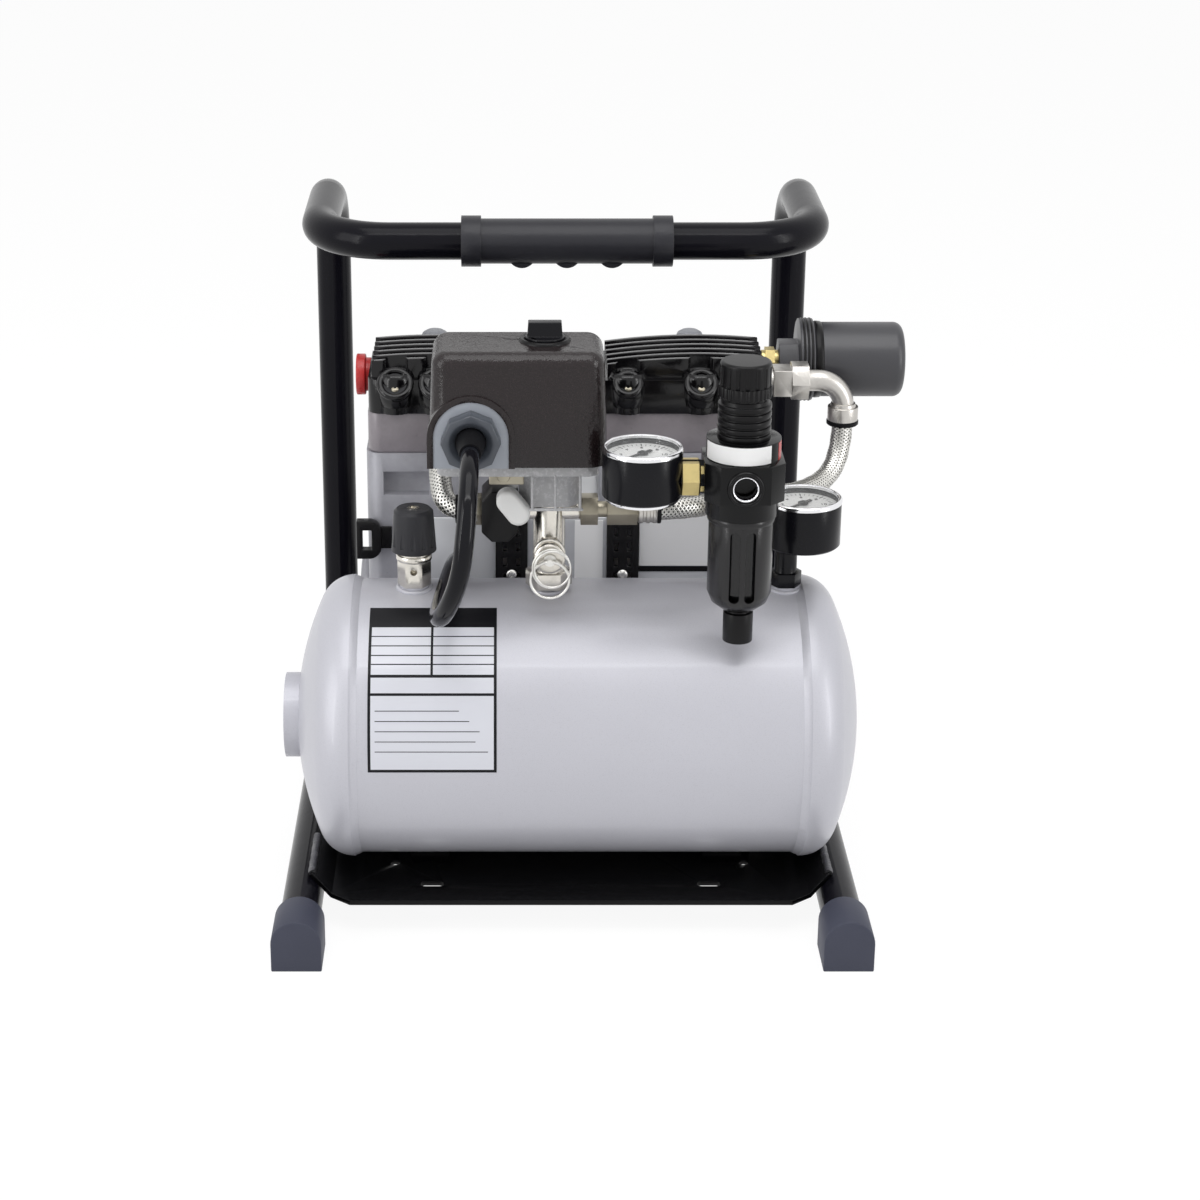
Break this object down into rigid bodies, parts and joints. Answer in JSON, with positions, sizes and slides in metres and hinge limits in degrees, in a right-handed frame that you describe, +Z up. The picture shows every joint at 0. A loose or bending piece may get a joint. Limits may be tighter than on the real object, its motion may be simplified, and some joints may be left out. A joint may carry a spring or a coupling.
{
  "type": "air compressor",
  "caption": "Portable electric air compressor: twin-cylinder motor block behind a small receiver tank, with switch, gauges and filter-regulator, in a bent tube frame with a carrying handle.",
  "frame": {"origin": "on the floor, at the middle of the bounding box in X and Y", "axes": "+X to the right seen from the tank side, +Y from the tank towards the rear posts, +Z up"},
  "size_m": [0.3263, 0.4544, 0.3176],
  "materials": {
    "frame_black": "gloss black enamel",
    "tank_silver": "satin silver-grey enamel",
    "plate_silver": "satin silver-grey enamel",
    "foot_rubber": "matt moulded rubber",
    "grip_rubber": "matt moulded rubber",
    "seal_rubber": "matt rubber",
    "bright_steel": "bright zinc plate",
    "black_steel": "black oxide",
    "core_steel": "varnished laminations",
    "nickel": "nickel plate",
    "case_cast": "silver paint on casting",
    "cylinder_cast": "grey paint on casting",
    "head_cast": "gloss black paint on casting",
    "piston_alloy": "as cast",
    "brass": "dull brass",
    "black_plastic": "textured moulded plastic",
    "knob_plastic": "smooth moulded plastic",
    "grey_plastic": "moulded plastic",
    "white_plastic": "moulded plastic",
    "red_plastic": "moulded plastic",
    "gun_metal": "satin gun-metal paint",
    "regulator_cast": "satin black paint on zinc casting",
    "bowl_clear": "clear polycarbonate",
    "lens_clear": "clear acrylic",
    "braid_steel": "woven wire braid",
    "cord_jacket": "smooth rubber jacket"
  },
  "bodies": {
    "compressor": {"tube_frame": "frame_black", "handle_grip": "grip_rubber", "rubber_feet": "foot_rubber", "base_plate": "plate_silver", "tank_shell": "tank_silver", "tank_heads": "tank_silver", "tank_plug": "bright_steel", "drain_valve_body": "brass", "motor_mounts": "seal_rubber", "crankcases": "case_cast", "crankcase_covers": "case_cast", "cylinder_blocks": "cylinder_cast", "cylinder_heads": "head_cast", "head_screws": "black_steel", "head_plugs": "grey_plastic", "port_cap": "red_plastic", "stator_core": "core_steel", "shaft_bearings": "bright_steel", "motor_shroud": "plate_silver", "vent_strips": "black_plastic", "cable_clip": "black_plastic", "switch_base": "black_plastic", "switch_cover": "black_plastic", "gland_plate": "grey_plastic", "gland_nut": "black_plastic", "manifold": "nickel", "safety_valve_body": "brass", "pipe_fittings": "nickel", "check_valve": "black_plastic", "check_valve_cap": "white_plastic", "air_hoses": "braid_steel", "outlet_fittings": "nickel", "outlet_riser": "nickel", "regulator_body": "regulator_cast", "regulator_bonnet": "black_plastic", "gauge_cases": "knob_plastic", "gauge_dials": "white_plastic", "gauge_lenses": "lens_clear", "intake_nipple": "brass", "intake_filter_base": "black_plastic", "cord_relief": "seal_rubber", "mains_cord": "cord_jacket", "cord_coil": "cord_jacket", "mains_plug": "knob_plastic"},
    "crank": {"crankshaft": "bright_steel", "rotor": "core_steel", "cooling_fans": "knob_plastic"},
    "piston_left": {"piston_left": "piston_alloy"},
    "piston_right": {"piston_right": "piston_alloy"},
    "switch_knob": {"switch_knob": "knob_plastic"},
    "regulator_knob": {"regulator_knob": "black_plastic"},
    "filter_bowl": {"bowl_guard": "gun_metal", "filter_bowl": "bowl_clear"},
    "bowl_drain": {"bowl_drain": "black_plastic"},
    "drain_knob": {"drain_valve_knob": "knob_plastic"},
    "safety_ring": {"safety_valve_ring": "bright_steel"},
    "outlet_needle": {"outlet_needle": "red_plastic"},
    "tank_needle": {"tank_needle": "red_plastic"},
    "intake_cover": {"intake_filter_cover": "black_plastic"}
  },
  "joints": [
    {"name": "crank_spin", "type": "hinge", "parent": "compressor", "child": "crank", "pos_m": [-0.017, 0.0255, 0.1], "axis": [1, 0, 0], "continuous": true},
    {"name": "piston_left_stroke", "type": "slide", "parent": "compressor", "child": "piston_left", "axis": [0, 0, 1], "range_m": [-0.005, 0.005]},
    {"name": "piston_right_stroke", "type": "slide", "parent": "compressor", "child": "piston_right", "axis": [0, 0, 1], "range_m": [-0.005, 0.005]},
    {"name": "switch_knob_turn", "type": "hinge", "parent": "compressor", "child": "switch_knob", "pos_m": [-0.0306, -0.0995, 0.2913], "axis": [0, 0, 1], "range_deg": [0, 90]},
    {"name": "regulator_knob_turn", "type": "hinge", "parent": "compressor", "child": "regulator_knob", "pos_m": [0.0623, -0.1445, 0.2763], "axis": [0, 0, 1], "range_deg": [-360, 360]},
    {"name": "bowl_twist", "type": "hinge", "parent": "compressor", "child": "filter_bowl", "pos_m": [0.0623, -0.1445, 0.219], "axis": [0, 0, 1], "range_deg": [0, 45]},
    {"name": "bowl_drain_turn", "type": "hinge", "parent": "filter_bowl", "child": "bowl_drain", "pos_m": [0.0623, -0.1445, 0.154], "axis": [0, 0, 1], "range_deg": [0, 90]},
    {"name": "drain_knob_turn", "type": "hinge", "parent": "compressor", "child": "drain_knob", "pos_m": [-0.0951, -0.0945, 0.1818], "axis": [0, 0, 1], "range_deg": [0, 360]},
    {"name": "safety_ring_pull", "type": "slide", "parent": "compressor", "child": "safety_ring", "axis": [0, -1, 0], "range_m": [0, 0.003], "stiffness_N_per_m": 1000},
    {"name": "outlet_needle_turn", "type": "hinge", "parent": "compressor", "child": "outlet_needle", "pos_m": [0.015, -0.1445, 0.2484], "axis": [0, 0, 1], "range_deg": [-270, 0], "stiffness_Nm_per_rad": 0.0005},
    {"name": "tank_needle_turn", "type": "hinge", "parent": "compressor", "child": "tank_needle", "pos_m": [0.0975, -0.0945, 0.2059], "axis": [0, 0, 1], "range_deg": [-270, 0], "stiffness_Nm_per_rad": 0.0005},
    {"name": "intake_cover_twist", "type": "hinge", "parent": "compressor", "child": "intake_cover", "pos_m": [0.115, 0.0375, 0.2416], "axis": [1, 0, 0], "range_deg": [0, 45]}
  ]
}
